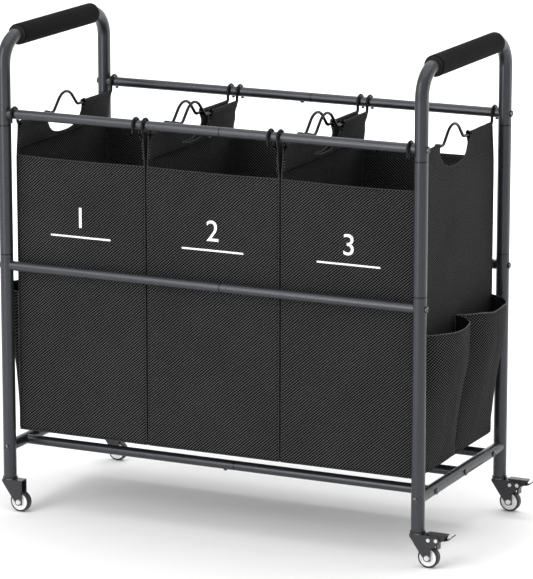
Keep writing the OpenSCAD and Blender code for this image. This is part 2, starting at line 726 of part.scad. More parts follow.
handle_tube(LEFT);  // left_handle_tube
handle_tube(RIGHT);  // right_handle_tube
foam_grip(LEFT);  // left_foam_grip
foam_grip(RIGHT);  // right_foam_grip
middle_post(LEFT, FRONT);  // front_left_middle_post
middle_post(RIGHT, FRONT);  // front_right_middle_post
middle_post(LEFT, BACK);  // back_left_middle_post
middle_post(RIGHT, BACK);  // back_right_middle_post
lower_post(LEFT, FRONT);  // front_left_lower_post
lower_post(RIGHT, FRONT);  // front_right_lower_post
lower_post(LEFT, BACK);  // back_left_lower_post
lower_post(RIGHT, BACK);  // back_right_lower_post
post_rail(LEFT, FRONT, top_rail_z);  // front_top_rail_left
post_rail(RIGHT, FRONT, top_rail_z);  // front_top_rail_right
post_rail(LEFT, BACK, top_rail_z);  // back_top_rail_left
post_rail(RIGHT, BACK, top_rail_z);  // back_top_rail_right
post_rail(LEFT, FRONT, middle_rail_z);  // front_middle_rail_left
post_rail(RIGHT, FRONT, middle_rail_z);  // front_middle_rail_right
post_rail(LEFT, BACK, middle_rail_z);  // back_middle_rail_left
post_rail(RIGHT, BACK, middle_rail_z);  // back_middle_rail_right
low_rails(LEFT);  // low_rails_left
low_rails(RIGHT);  // low_rails_right
side_rail(LEFT);  // left_side_rail
side_rail(RIGHT);  // right_side_rail
threaded_inserts();
rail_end_screws();
rail_joint_screws();
side_rail_screws();
low_rail_screws();
caster_sockets();
caster_stems();
caster_washers();
fork(LEFT, FRONT, false);  // front_left_fork
fork(RIGHT, FRONT, true);  // front_right_fork
fork(LEFT, BACK, false);  // back_left_fork
fork(RIGHT, BACK, true);  // back_right_fork
tyre(LEFT, FRONT);  // front_left_tyre
tyre(RIGHT, FRONT);  // front_right_tyre
tyre(LEFT, BACK);  // back_left_tyre
tyre(RIGHT, BACK);  // back_right_tyre
hub(LEFT, FRONT);  // front_left_hub
hub(RIGHT, FRONT);  // front_right_hub
hub(LEFT, BACK);  // back_left_hub
hub(RIGHT, BACK);  // back_right_hub
axle(LEFT, FRONT);  // front_left_axle
axle(RIGHT, FRONT);  // front_right_axle
axle(LEFT, BACK);  // back_left_axle
axle(RIGHT, BACK);  // back_right_axle
brake_pedal(FRONT);  // front_brake_pedal
brake_pedal(BACK);  // back_brake_pedal
brake_pins(FRONT);  // front_brake_pins
brake_pins(BACK);  // back_brake_pins
bag(-1);  // left_bag
bag(0);  // middle_bag
bag(1);  // right_bag
bag_wires(-1);  // left_bag_wires
bag_wires(0);  // middle_bag_wires
bag_wires(1);  // right_bag_wires
side_pockets(LEFT);  // left_side_pockets
side_pockets(RIGHT);  // right_side_pockets
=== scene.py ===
"""Laundry sorter on wheels: cloth bags, side pockets, bag numbers and finishes around its frame."""

import json
import math

import bmesh
import bpy
from bpy.props import FloatProperty, FloatVectorProperty, PointerProperty
from mathutils import Matrix, Vector, noise

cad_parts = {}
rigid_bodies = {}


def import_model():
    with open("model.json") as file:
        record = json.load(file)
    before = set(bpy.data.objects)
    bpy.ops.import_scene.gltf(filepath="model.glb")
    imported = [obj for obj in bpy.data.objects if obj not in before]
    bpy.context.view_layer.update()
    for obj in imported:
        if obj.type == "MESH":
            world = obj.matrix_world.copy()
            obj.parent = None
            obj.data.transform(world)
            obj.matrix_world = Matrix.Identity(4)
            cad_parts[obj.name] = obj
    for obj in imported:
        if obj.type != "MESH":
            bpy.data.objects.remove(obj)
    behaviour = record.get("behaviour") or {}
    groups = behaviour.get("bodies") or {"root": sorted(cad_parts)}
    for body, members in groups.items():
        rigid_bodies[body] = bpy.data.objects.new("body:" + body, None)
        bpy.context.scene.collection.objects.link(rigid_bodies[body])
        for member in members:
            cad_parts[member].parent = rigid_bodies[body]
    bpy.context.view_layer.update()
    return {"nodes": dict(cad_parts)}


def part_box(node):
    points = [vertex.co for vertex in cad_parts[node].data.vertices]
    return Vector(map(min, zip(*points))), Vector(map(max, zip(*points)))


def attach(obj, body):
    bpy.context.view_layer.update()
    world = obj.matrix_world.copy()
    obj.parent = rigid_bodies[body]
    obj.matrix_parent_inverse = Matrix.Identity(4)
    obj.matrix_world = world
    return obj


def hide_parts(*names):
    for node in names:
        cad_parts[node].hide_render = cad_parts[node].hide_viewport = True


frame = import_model()

bl_info = {
    "name": "Laundry Sorter",
    "version": (1, 0, 0),
    "blender": (4, 5, 0),
    "location": "View3D > Sidebar > Laundry Sorter",
    "description": "Makes the cloth, print and finishes of a three-bag laundry sorter",
    "category": "Object",
}

BAGS = ("left", "middle", "right")
END_SIDE = {"left": -1, "right": 1}
NUMBERS = {"left": "1", "middle": "2", "right": "3"}

# Cells across and up each part of the cloth
PANEL_COLUMNS = 40
WALL_ROWS = 76
FLAP_ROWS = 14
ROLL_ROWS = 12
FACING_ROWS = 16
POCKET_COLUMNS = 44
POCKET_ROWS = 46
# Height of a pocket's hem stitches as a share of the pocket's
POCKET_HEM = 0.945
# Cuts along the bar under a number, and a digit's height as a share of its font's size
BAR_CUTS = 23
DIGIT_SHARE = 0.729
# Distance between the light dots of a corded seam
CORD_DOT = 0.0042


# ---------------------------------------------------------------- settings


class ClothSettings(bpy.types.PropertyGroup):
    thickness: FloatProperty(
        name="Cloth thickness", description="Thickness of the cloth with its lining",
        default=0.0012, min=0.0005, max=0.002, unit="LENGTH")
    facing_drop: FloatProperty(
        name="Facing depth", description="How far the facing inside a side panel reaches below the wire",
        default=0.0433, min=0.03, max=0.06, unit="LENGTH")
    sleeve_radius: FloatProperty(
        name="Sleeve radius", description="Outside radius of the sleeve round a hanger wire",
        default=0.0042, min=0.004, max=0.006, unit="LENGTH")
    wire_inset: FloatProperty(
        name="Wire inset", description="Distance of a hanger wire from the side of its bag",
        default=0.007, min=0.005, max=0.012, unit="LENGTH")
    notch_depth: FloatProperty(
        name="Notch depth", description="Depth of the hand notch below the wire",
        default=0.0385, min=0.03, max=0.045, unit="LENGTH")
    notch_half_width: FloatProperty(
        name="Notch half width", description="Half the width of the hand notch",
        default=0.063, min=0.05, max=0.07, unit="LENGTH")
    notch_fullness: FloatProperty(
        name="Notch fullness", description="Shape of the notch: 2 is half an ellipse, and more is squarer",
        default=2.5, min=2.0, max=4.0)
    panel_drop: FloatProperty(
        name="Panel drop", description="Depth of the front and back panels' top edges below the wires",
        default=0.0538, min=0.05, max=0.08, unit="LENGTH")
    floor_sag: FloatProperty(
        name="Floor sag", description="How far the middle of a bag's floor hangs down",
        default=0.005, min=0.0, max=0.01, unit="LENGTH")
    piping_radius: FloatProperty(
        name="Piping radius", description="Radius of the corded seams",
        default=0.0012, min=0.0008, max=0.002, unit="LENGTH")
    stitch_length: FloatProperty(
        name="Stitch length", description="Length of one stitch with its gap",
        default=0.0042, min=0.003, max=0.006, unit="LENGTH")


class FinishSettings(bpy.types.PropertyGroup):
    coat: FloatVectorProperty(
        name="Frame coat", description="Colour of the powder coat on the tubes",
        subtype="COLOR", default=(0.034, 0.036, 0.041), min=0, max=1)
    foam: FloatVectorProperty(
        name="Foam", description="Colour of the foam grips",
        subtype="COLOR", default=(0.0040, 0.0040, 0.0043), min=0, max=1)
    cloth_light: FloatVectorProperty(
        name="Cloth rib", description="Colour of the raised ribs of the twill",
        subtype="COLOR", default=(0.086, 0.086, 0.087), min=0, max=1)
    cloth_dark: FloatVectorProperty(
        name="Cloth groove", description="Colour between the ribs of the twill",
        subtype="COLOR", default=(0.0006, 0.0006, 0.0007), min=0, max=1)
    ink: FloatVectorProperty(
        name="Print", description="Colour of the printed numbers and their bars",
        subtype="COLOR", default=(0.90, 0.90, 0.89), min=0, max=1)
    twill_pitch: FloatProperty(
        name="Twill pitch", description="Distance between neighbouring ribs of the twill",
        default=0.0038, min=0.001, max=0.006, unit="LENGTH")


class NumberSettings(bpy.types.PropertyGroup):
    height: FloatProperty(
        name="Number height", description="Height of the printed bag numbers",
        default=0.036, min=0.01, max=0.08, unit="LENGTH")
    top: FloatProperty(
        name="Print top", description="Height of the numbers' tops below the panels' top edges",
        default=0.078, min=0.02, max=0.2, unit="LENGTH")
    bar_width: FloatProperty(
        name="Bar width", description="Width of the plain bar under each number",
        default=0.110, min=0.02, max=0.2, unit="LENGTH")
    bar_height: FloatProperty(
        name="Bar height", description="Height of the plain bar under each number",
        default=0.0030, min=0.001, max=0.01, unit="LENGTH")
    bar_gap: FloatProperty(
        name="Bar gap", description="Gap between a number and its bar",
        default=0.012, min=0.004, max=0.03, unit="LENGTH")
    ink_thickness: FloatProperty(
        name="Ink thickness", description="Thickness of the printed ink",
        default=0.0002, min=0.0001, max=0.0005, unit="LENGTH")


class StageSettings(bpy.types.PropertyGroup):
    azimuth: FloatProperty(
        name="Azimuth", description="How far the camera stands to the right of straight ahead",
        subtype="ANGLE", default=math.radians(25.28))
    elevation: FloatProperty(
        name="Elevation", description="How far the camera stands above the horizontal",
        subtype="ANGLE", default=math.radians(12.99))
    distance: FloatProperty(
        name="Distance", description="Distance of the camera from the point it looks at",
        default=6.012, unit="LENGTH")
    aim: FloatVectorProperty(
        name="Aim", description="Point that the camera looks at",
        subtype="TRANSLATION", default=(0.00806, 0.0, 0.38043))
    lens: FloatProperty(name="Lens", description="Focal length in millimetres", default=226.3)
    sky: FloatProperty(name="Sky", description="Strength of the even light from all round", default=0.78)
    key: FloatProperty(name="Key", description="Power of the large soft light in front", default=84.0)


GROUPS = {
    "sorter_cloth": ClothSettings,
    "sorter_finish": FinishSettings,
    "sorter_number": NumberSettings,
    "sorter_stage": StageSettings,
}


# ---------------------------------------------------------------- measures taken from the frame


class BagMeasures:
    """Where one bag hangs, from its place in the frame."""

    def __init__(self, name, cloth):
        low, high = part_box(f"{name}_bag")
        self.name = name
        self.side = END_SIDE.get(name, 0)
        self.x = (low.x + high.x) / 2
        self.half_width = (high.x - low.x) / 2
        self.half_depth = (high.y - low.y) / 2
        self.floor = low.z
        self.sleeve = cloth.sleeve_radius
        self.wire = self.half_width - cloth.wire_inset
        self.wire_z = high.z - cloth.sleeve_radius
        self.panel_top = self.wire_z - cloth.panel_drop
        self.notch_floor = self.wire_z - cloth.notch_depth
        self.notch_half = cloth.notch_half_width
        self.notch_fullness = cloth.notch_fullness
        self.facing_foot = self.wire_z - cloth.facing_drop
        self.seed = Vector((self.x * 40, 3.1, 7.7))


# ---------------------------------------------------------------- small helpers


def ease(t):
    t = min(max(t, 0.0), 1.0)
    return t * t * (3 - 2 * t)


def ripple(seed, u, v, w=0.0):
    """Soft unevenness between -1 and 1."""
    return noise.noise(seed + Vector((u, v, w)))


def shares(count):
    """Even shares from 0 to 1, in so many steps."""
    return [i / count for i in range(count + 1)]


def between(table, t):
    """The value at t on the straight lines between the pairs of a short table."""
    for (t0, a), (t1, b) in zip(table, table[1:]):
        if t <= t1:
            return a + (b - a) * (t - t0) / (t1 - t0)
    return table[-1][1]


def keep(bm, name, materials, smooth=True):
    """Makes an object of a bmesh, at the origin."""
    mesh = bpy.data.meshes.new(name)
    bm.to_mesh(mesh)
    bm.free()
    for material in materials:
        mesh.materials.append(material)
    if smooth:
        mesh.shade_smooth()
    piece = bpy.data.objects.new(name, mesh)
    bpy.context.scene.collection.objects.link(piece)
    return piece


def lay_grid(bm, columns, rows, place):
    """Adds a grid of cloth. place(u, v) gives a point and the cloth's own coordinates there."""
    made = bmesh.ops.create_grid(bm, x_segments=columns, y_segments=rows, size=0.5)
    layer = bm.loops.layers.uv.verify()
    flat = {}
    for corner in made["verts"]:
        point, on_cloth = place(corner.co.x + 0.5, corner.co.y + 0.5)
        corner.co = point
        flat[corner] = on_cloth
    for face in {face for corner in made["verts"] for face in corner.link_faces}:
        for loop in face.loops:
            loop[layer].uv = flat[loop.vert]
    return made["verts"]


def wall(piece, thickness):
    """Gives a cloth its thickness, inwards."""
    solid = piece.modifiers.new("Cloth thickness", "SOLIDIFY")
    solid.thickness = thickness
    solid.offset = -1
    solid.use_even_offset = False
    return piece


def cords(name, paths, radius, material, sides=2):
    """Round cords along paths, as one mesh."""
    curve = bpy.data.curves.new(name + "_path", "CURVE")
    curve.dimensions = "3D"
    curve.bevel_depth = radius
    curve.bevel_resolution = sides
    curve.use_fill_caps = True
    for path in paths:
        spline = curve.splines.new("POLY")
        spline.points.add(len(path) - 1)
        for point, place in zip(spline.points, path):
            point.co = (*place, 1)
    holder = bpy.data.objects.new(name + "_path", curve)
    bpy.context.scene.collection.objects.link(holder)
    bpy.context.view_layer.update()
    mesh = bpy.data.meshes.new_from_object(holder.evaluated_get(bpy.context.evaluated_depsgraph_get()))
    bpy.data.objects.remove(holder)
    bpy.data.curves.remove(curve)
    mesh.name = name
    mesh.materials.clear()
    mesh.materials.append(material)
    mesh.shade_smooth()
    piece = bpy.data.objects.new(name, mesh)
    bpy.context.scene.collection.objects.link(piece)
    return piece


def spaced(path, step):
    """Points at equal steps along a path, each with the direction there."""
    out, left = [], step / 2
    for a, b in zip(path, path[1:]):
        run = b - a
        length = run.length
        at = left
        while at < length:
            out.append((a + run * (at / length), run.normalized()))
            at += step
        left = at - length
    return out


def stitches(name, paths, step, material):
    """A row of stitches along each path."""
    bm = bmesh.new()
    for path in paths:
        for place, along in spaced(path, step):
            turn = along.to_track_quat("Z", "Y").to_matrix().to_4x4()
            shape = Matrix.Diagonal((0.0004, 0.0004, step * 0.36, 1))
            lie = Matrix.Translation(place) @ turn @ shape
            bmesh.ops.create_icosphere(bm, subdivisions=1, radius=1, matrix=lie)
    return keep(bm, name, [material])


# ---------------------------------------------------------------- materials


class Shader:
    """A material under construction, with its principled shader."""

    def __init__(self, name):
        self.material = bpy.data.materials.new(name)
        self.material.use_nodes = True
        self.tree = self.material.node_tree
        self.surface = self.tree.nodes["Principled BSDF"]

    def node(self, kind, **values):
        node = self.tree.nodes.new(kind)
        for key, value in values.items():
            if hasattr(node, key):
                setattr(node, key, value)
            else:
                node.inputs[key.replace("_", " ")].default_value = value
        return node

    def link(self, source, target):
        self.tree.links.new(source, target)

    def set(self, **values):
        for key, value in values.items():
            self.surface.inputs[key.replace("_", " ")].default_value = value

    def math(self, operation, a, b=None):
        node = self.node("ShaderNodeMath", operation=operation)
        for socket, value in zip(node.inputs, (a, b)):
            if value is None:
                continue
            if isinstance(value, (int, float)):
                socket.default_value = value
            else:
                self.link(value, socket)
        return node.outputs[0]

    def mix(self, factor, a, b):
        """Mixes two colours."""
        node = self.node("ShaderNodeMix", data_type="RGBA")
        for socket, value in ((node.inputs[0], factor), (node.inputs[6], a), (node.inputs[7], b)):
            if isinstance(value, (int, float)):
                socket.default_value = value
            elif isinstance(value, (tuple, list)) or hasattr(value, "hsv"):
                socket.default_value = (*value[:3], 1)
            else:
                self.link(value, socket)
        return node.outputs[2]

    def spread(self, value, low, high, to_low=0.0, to_high=1.0):
        """Maps a value from one range to another, held inside it."""
        node = self.node("ShaderNodeMapRange")
        self.link(value, node.inputs[0])
        for socket, number in zip(node.inputs[1:5], (low, high, to_low, to_high)):
            socket.default_value = number
        return node.outputs[0]

    def noise(self, place, scale, detail=2.0, roughness=0.5):
        node = self.node("ShaderNodeTexNoise", Scale=scale, Detail=detail, Roughness=roughness)
        self.link(place, node.inputs["Vector"])
        return node.outputs[0]

    def stretched(self, place, scale):
        node = self.node("ShaderNodeMapping")
        node.inputs["Scale"].default_value = scale
        self.link(place, node.inputs["Vector"])
        return node.outputs[0]

    def place(self):
        return self.node("ShaderNodeTexCoord").outputs["Object"]

    def cloth_place(self):
        return self.node("ShaderNodeUVMap").outputs[0]

    def bump(self, height, distance, strength=1.0):
        node = self.node("ShaderNodeBump", Distance=distance, Strength=strength)
        self.link(height, node.inputs["Height"])
        self.link(node.outputs[0], self.surface.inputs["Normal"])


def coat_material(name, colour, roughness, grain, metallic=0.0, seams=("Z", ())):
    """Powder coat: orange peel, slightly uneven gloss, a little wear and dark lines where tubes meet."""
    s = Shader(name)
    place = s.place()
    peel = s.noise(place, 1400, 3)
    cloudy = s.noise(place, 22, 4, 0.6)
    fine = s.noise(place, 5200, 2)
    worn = s.spread(s.noise(place, 90, 6, 0.7), 0.60, 0.78)
    base = s.mix(s.spread(cloudy, 0.3, 0.7), [c * 0.95 for c in colour], [c * 1.05 for c in colour])
    base = s.mix(s.spread(fine, 0.52, 0.72, 0, 0.25), base, [min(1, c * 1.9) for c in colour])
    base = s.mix(s.math("MULTIPLY", worn, 0.12), base, [c * 1.5 for c in colour])
    if seams[1]:
        split = s.node("ShaderNodeSeparateXYZ")
        s.link(place, split.inputs[0])
        for value in seams[1]:
            off = s.math("ABSOLUTE", s.math("SUBTRACT", split.outputs[seams[0]], value))
            base = s.mix(s.spread(off, 0.0008, 0.0016, 1.0, 0.0), base, (0.001, 0.001, 0.001))
    s.link(base, s.surface.inputs["Base Color"])
    uneven = s.spread(cloudy, 0.25, 0.75, roughness - 0.02, roughness + 0.03)
    s.link(s.math("ADD", uneven, s.math("MULTIPLY", worn, 0.03)), s.surface.inputs["Roughness"])
    s.bump(s.math("ADD", peel, s.math("MULTIPLY", fine, 0.4)), grain)
    s.set(Metallic=metallic, Coat_Weight=0.1, Coat_Roughness=0.3)
    return s.material


def foam_material(colour, half_length):
    """Closed-cell foam: fine open pores on the skin and paler cut ends."""
    s = Shader("Foam")
    place = s.place()
    cells = s.node("ShaderNodeTexVoronoi", Scale=1500.0)
    s.link(place, cells.inputs["Vector"])
    pores = s.spread(cells.outputs["Distance"], 0.05, 0.5)
    cloudy = s.noise(place, 30, 4)
    split = s.node("ShaderNodeSeparateXYZ")
    s.link(place, split.inputs[0])
    cut_end = s.spread(s.math("ABSOLUTE", split.outputs["Y"]), half_length - 0.0007, half_length - 0.0002)
    skin = s.mix(s.spread(cloudy, 0.3, 0.7), [c * 0.8 for c in colour], [c * 1.35 for c in colour])
    pored = s.mix(s.spread(pores, 0.0, 1.0, 0.5, 0.0), skin, [c * 0.35 for c in colour])
    s.link(s.mix(cut_end, pored, (0.022, 0.022, 0.024)), s.surface.inputs["Base Color"])
    s.bump(s.math("ADD", pores, s.math("MULTIPLY", s.noise(place, 260, 3), 0.8)), 0.00022)
    s.set(Roughness=0.93, Specular_IOR_Level=0.14)
    return s.material


def metal_material(name, colour, roughness, metallic=1.0):
    """Plated steel with fine turning marks and small stains."""
    s = Shader(name)
    place = s.place()
    turned = s.noise(s.stretched(place, (900, 900, 6000)), 1.0, 2)
    stain = s.noise(place, 240, 5, 0.65)
    stained = s.mix(s.spread(stain, 0.35, 0.75), colour, [c * 0.62 for c in colour])
    s.link(stained, s.surface.inputs["Base Color"])
    uneven = s.spread(stain, 0.3, 0.7, roughness - 0.06, roughness + 0.12)
    s.link(s.math("ADD", uneven, s.math("MULTIPLY", turned, 0.06)), s.surface.inputs["Roughness"])
    s.bump(turned, 0.00004)
    s.set(Metallic=metallic)
    return s.material


def plastic_material(name, colour, roughness, gloss=0.0):
    """Moulded plastic with a faint grain and flow marks."""
    s = Shader(name)
    place = s.place()
    grain = s.noise(place, 2600, 2)
    flow = s.noise(s.stretched(place, (60, 60, 160)), 1.0, 3)
    s.link(s.mix(s.spread(flow, 0.3, 0.7), [c * 0.9 for c in colour], [min(1, c * 1.06) for c in colour]),
           s.surface.inputs["Base Color"])
    s.link(s.spread(flow, 0.25, 0.75, roughness - 0.05, roughness + 0.08), s.surface.inputs["Roughness"])
    s.bump(grain, 0.00005)
    s.set(Coat_Weight=gloss, Coat_Roughness=0.15)
    return s.material


def tyre_material():
    """Dark rubber with fine scuffs on the tread."""
    s = Shader("Tyre")
    place = s.place()
    scuff = s.noise(place, 420, 6, 0.7)
    s.link(s.mix(s.spread(scuff, 0.45, 0.75), (0.014, 0.014, 0.015), (0.045, 0.044, 0.044)),
           s.surface.inputs["Base Color"])
    s.link(s.spread(scuff, 0.3, 0.7, 0.42, 0.66), s.surface.inputs["Roughness"])
    s.bump(s.math("ADD", scuff, s.math("MULTIPLY", s.noise(place, 3000, 2), 0.4)), 0.00012)
    return s.material


def wire_material():
    """Wire dipped in glossy black plastic, thick and thin in places."""
    s = Shader("Wire coat")
    place = s.place()
    dip = s.noise(place, 120, 3)
    black = s.mix(s.spread(dip, 0.3, 0.7), (0.001, 0.001, 0.0011), (0.003, 0.003, 0.0032))
    s.link(black, s.surface.inputs["Base Color"])
    s.link(s.spread(dip, 0.3, 0.7, 0.07, 0.13), s.surface.inputs["Roughness"])
    s.bump(dip, 0.0003, 0.5)
    s.set(Specular_IOR_Level=0.2)
    return s.material


def twill_heights(s, pitch):
    """How high the weave stands over the cloth, from 0 to 1, and its ribs alone. The ribs climb to the
    right, and the threads that cross them break each rib into short floats."""
    split = s.node("ShaderNodeSeparateXYZ")
    s.link(s.cloth_place(), split.inputs[0])
    waver = s.math("MULTIPLY", s.math("SUBTRACT", s.noise(s.cloth_place(), 150, 2), 0.5), 1.6)

    def wave(rise, spacing, lean):
        right = s.math("MULTIPLY", split.outputs["X"], math.tau * math.cos(rise) / spacing)
        up = s.math("MULTIPLY", split.outputs["Y"], math.tau * math.sin(rise) / spacing)
        phase = s.math("ADD", s.math("ADD", right, up), s.math("MULTIPLY", waver, lean))
        return s.math("COSINE", phase)

    rib = s.math("ADD", s.math("MULTIPLY", wave(math.radians(-49), pitch, 1.0), 0.5), 0.5)
    floats = s.math("MULTIPLY", wave(math.radians(58), pitch * 0.87, 0.6), 0.30)
    height = s.math("ADD", s.math("MULTIPLY", rib, 0.78), floats)
    return s.spread(height, 0.36, 0.74), rib


def twill_material(name, light, dark, pitch, brightness=1.0):
    """Black oxford cloth: diagonal ribs made of short threads, with uneven dye and stray lint."""
    s = Shader(name)
    height, rib = twill_heights(s, pitch)
    place = s.place()
    dye = s.noise(place, 9, 4, 0.6)
    yarn = s.noise(place, 900, 2)
    tone = s.math("MULTIPLY", height, s.spread(dye, 0.3, 0.7, 0.86, 1.1))
    tone = s.math("MULTIPLY", tone, s.spread(yarn, 0.3, 0.7, 0.72, 1.25))
    cloth = s.mix(tone, [c * brightness for c in dark], [c * brightness for c in light])
    lint = s.node("ShaderNodeTexVoronoi", Scale=210.0)
    s.link(place, lint.inputs["Vector"])
    speck = s.spread(lint.outputs["Distance"], 0.04, 0.06, 0.25, 0.0)
    s.link(s.mix(speck, cloth, (0.13, 0.13, 0.13)), s.surface.inputs["Base Color"])
    s.link(s.spread(rib, 0.0, 1.0, 0.95, 0.72), s.surface.inputs["Roughness"])
    s.bump(s.math("ADD", height, s.math("MULTIPLY", yarn, 0.35)), 0.0005, 0.8)
    s.set(Specular_IOR_Level=0.04)
    return s.material


def cord_material(name, light, dark):
    """Corded seam: cloth pulled round a cord, where the ribs show as a row of light dots."""
    s = Shader(name)
    split = s.node("ShaderNodeSeparateXYZ")
    s.link(s.place(), split.inputs[0])
    run = s.math("ADD", s.math("ADD", split.outputs["X"], split.outputs["Y"]), split.outputs["Z"])
    beat = s.math("SINE", s.math("MULTIPLY", run, math.tau / CORD_DOT))
    dots = s.math("ADD", s.math("MULTIPLY", beat, 0.5), 0.5)
    fray = s.noise(s.place(), 700, 3)
    tone = s.math("MULTIPLY", s.math("POWER", dots, 1.6), s.spread(fray, 0.3, 0.7, 0.6, 1.2))
    s.link(s.mix(tone, dark, light), s.surface.inputs["Base Color"])
    s.bump(s.math("ADD", dots, fray), 0.0003)
    s.set(Roughness=0.8, Specular_IOR_Level=0.1)
    return s.material


def ink_material(colour, pitch):
    """White screen print: it follows the cloth's ribs, thin on the crests and slightly chalky."""
    s = Shader("Print")
    height, rib = twill_heights(s, pitch)
    speckle = s.noise(s.place(), 800, 4, 0.7)
    worn = s.spread(s.math("ADD", s.math("MULTIPLY", rib, 0.4), speckle), 0.92, 1.1, 0.0, 0.3)
    s.link(s.mix(worn, colour, [c * 0.55 for c in colour]), s.surface.inputs["Base Color"])
    s.link(s.spread(speckle, 0.3, 0.7, 0.5, 0.7), s.surface.inputs["Roughness"])
    s.bump(height, 0.0002)
    return s.material


def floor_material():
    """Pale matt floor with a hardly visible mottle."""
    s = Shader("Studio floor")
    mottle = s.noise(s.place(), 3, 3)
    s.link(s.mix(mottle, (0.955, 0.955, 0.955), (0.975, 0.975, 0.975)), s.surface.inputs["Base Color"])
    s.set(Roughness=0.7, Specular_IOR_Level=0.2)
    return s.material


def dress(material, *nodes):
    """Gives a material to nodes of the frame."""
    for name in nodes:
        slots = frame["nodes"][name].data.materials
        slots.clear()
        slots.append(material)


def nodes_with(*words):
    return [name for name in frame["nodes"] if any(word in name for word in words)]


# ---------------------------------------------------------------- the shape of a bag


def side_x(bag, z):
    """Half width of the bag at a height: straight, then drawn in to the wires."""
    drawn = bag.half_width - bag.wire - bag.sleeve
    start = bag.panel_top - 0.008
    return bag.half_width - drawn * ease((z - start) / (bag.wire_z - start))


def corner_point(bag, sx, sy, z):
    """A point on one of the four upright seams, slightly wavy as sewn cloth is."""
    up = (z - bag.floor) / (bag.panel_top - bag.floor)
    inside = min(max(up, 0.0), 1.0)
    loose = 4 * inside * (1 - inside) * 0.5 + 0.5 * ease((up - 0.9) / 0.1)
    seed = bag.seed + Vector((sx * 5, sy * 9, 0))
    free = 1.0 if up > 1.0 else 0.45
    y = sy * (bag.half_depth - 0.0006 - 0.0012 * free * loose * (1 + ripple(seed, 0, 0, z * 26)))
    x = sx * (side_x(bag, z) - 0.0002 - 0.0005 * loose * (1 + ripple(seed, 3, 0, z * 20)))
    return Vector((bag.x + x, y, z))


def depth_share(bag, y):
    """Where y lies over a bag's depth, from 0 at its front to 1 at its back."""
    return (y + bag.half_depth) / (2 * bag.half_depth)


def side_point(bag, side, y, z):
    """A point of a side wall, straight between its two upright seams."""
    return corner_point(bag, side, -1, z).lerp(corner_point(bag, side, 1, z), depth_share(bag, y))


def notch_line(bag, y):
    """Height of a side panel's top edge over its depth: a rounded hand notch between the two sleeves."""
    across = abs(y) / bag.notch_half
    if across >= 1:
        return bag.wire_z
    deep = (1 - across ** bag.notch_fullness) ** (1 / bag.notch_fullness)
    return bag.wire_z - (bag.wire_z - bag.notch_floor) * deep


def depth_steps(bag):
    """Places over a side panel's depth for its columns: close together where the notch turns upright."""
    outer = [bag.half_depth - (bag.half_depth - bag.notch_half) * i / 14 for i in range(14)]
    notch = [bag.notch_half * math.cos(math.pi / 2 * (i / 18) ** 1.3) for i in range(19)]
    right = outer + notch
    right[-1] = 0.0
    return [-y for y in right] + right[-2::-1]


def panel_wave(bag, which, u, v):
    """How far a panel's cloth stands out from flat, nothing at its edges."""
    if not (0 < u < 1 and 0 < v < 1):
        return 0.0
    edge = math.sin(math.pi * u) ** 0.7 * math.sin(math.pi * v) ** 0.5
    seed = bag.seed + Vector((which * 11, 0, 0))
    return edge * (0.6 + 0.9 * ripple(seed, u * 2.2, v * 3.0) + 0.35 * ripple(seed, u * 7, v * 5, 2))


def wall_point(bag, which, u, z):
    """A point of the walls under the panels' top edges. which is 0 front, 1 right, 2 back or 3 left, and u
    runs to the right as seen from outside."""
    corners = ((-1, -1), (1, -1), (1, 1), (-1, 1))
    a = corner_point(bag, *corners[which], z)
    b = corner_point(bag, *corners[(which + 1) % 4], z)
    out = Vector(((0, -1, 0), (1, 0, 0), (0, 1, 0), (-1, 0, 0))[which])
    v = (z - bag.floor) / (bag.panel_top - bag.floor)
    free = which in (0, 2) or bag.side == (1 if which == 1 else -1)
    wave = panel_wave(bag, which, u, v)
    point = a.lerp(b, u)
    if free:
        slack = 0.0022 if which in (0, 2) else 0.0016
        point += out * slack * wave
        toe = math.exp(-((v * 6.0) ** 2)) * (math.exp(-((u * 9) ** 2)) + math.exp(-(((1 - u) * 9) ** 2)))
        if 0 < u < 1:
            point += out * 0.0012 * toe * (4 * u * (1 - u)) ** 0.25
    else:
        point -= out * 0.0016 * abs(wave)
    if which in (0, 2) and v > 0.9:
        point.z -= 0.0016 * math.sin(math.pi * u) * ((v - 0.9) / 0.1) ** 2
    return point


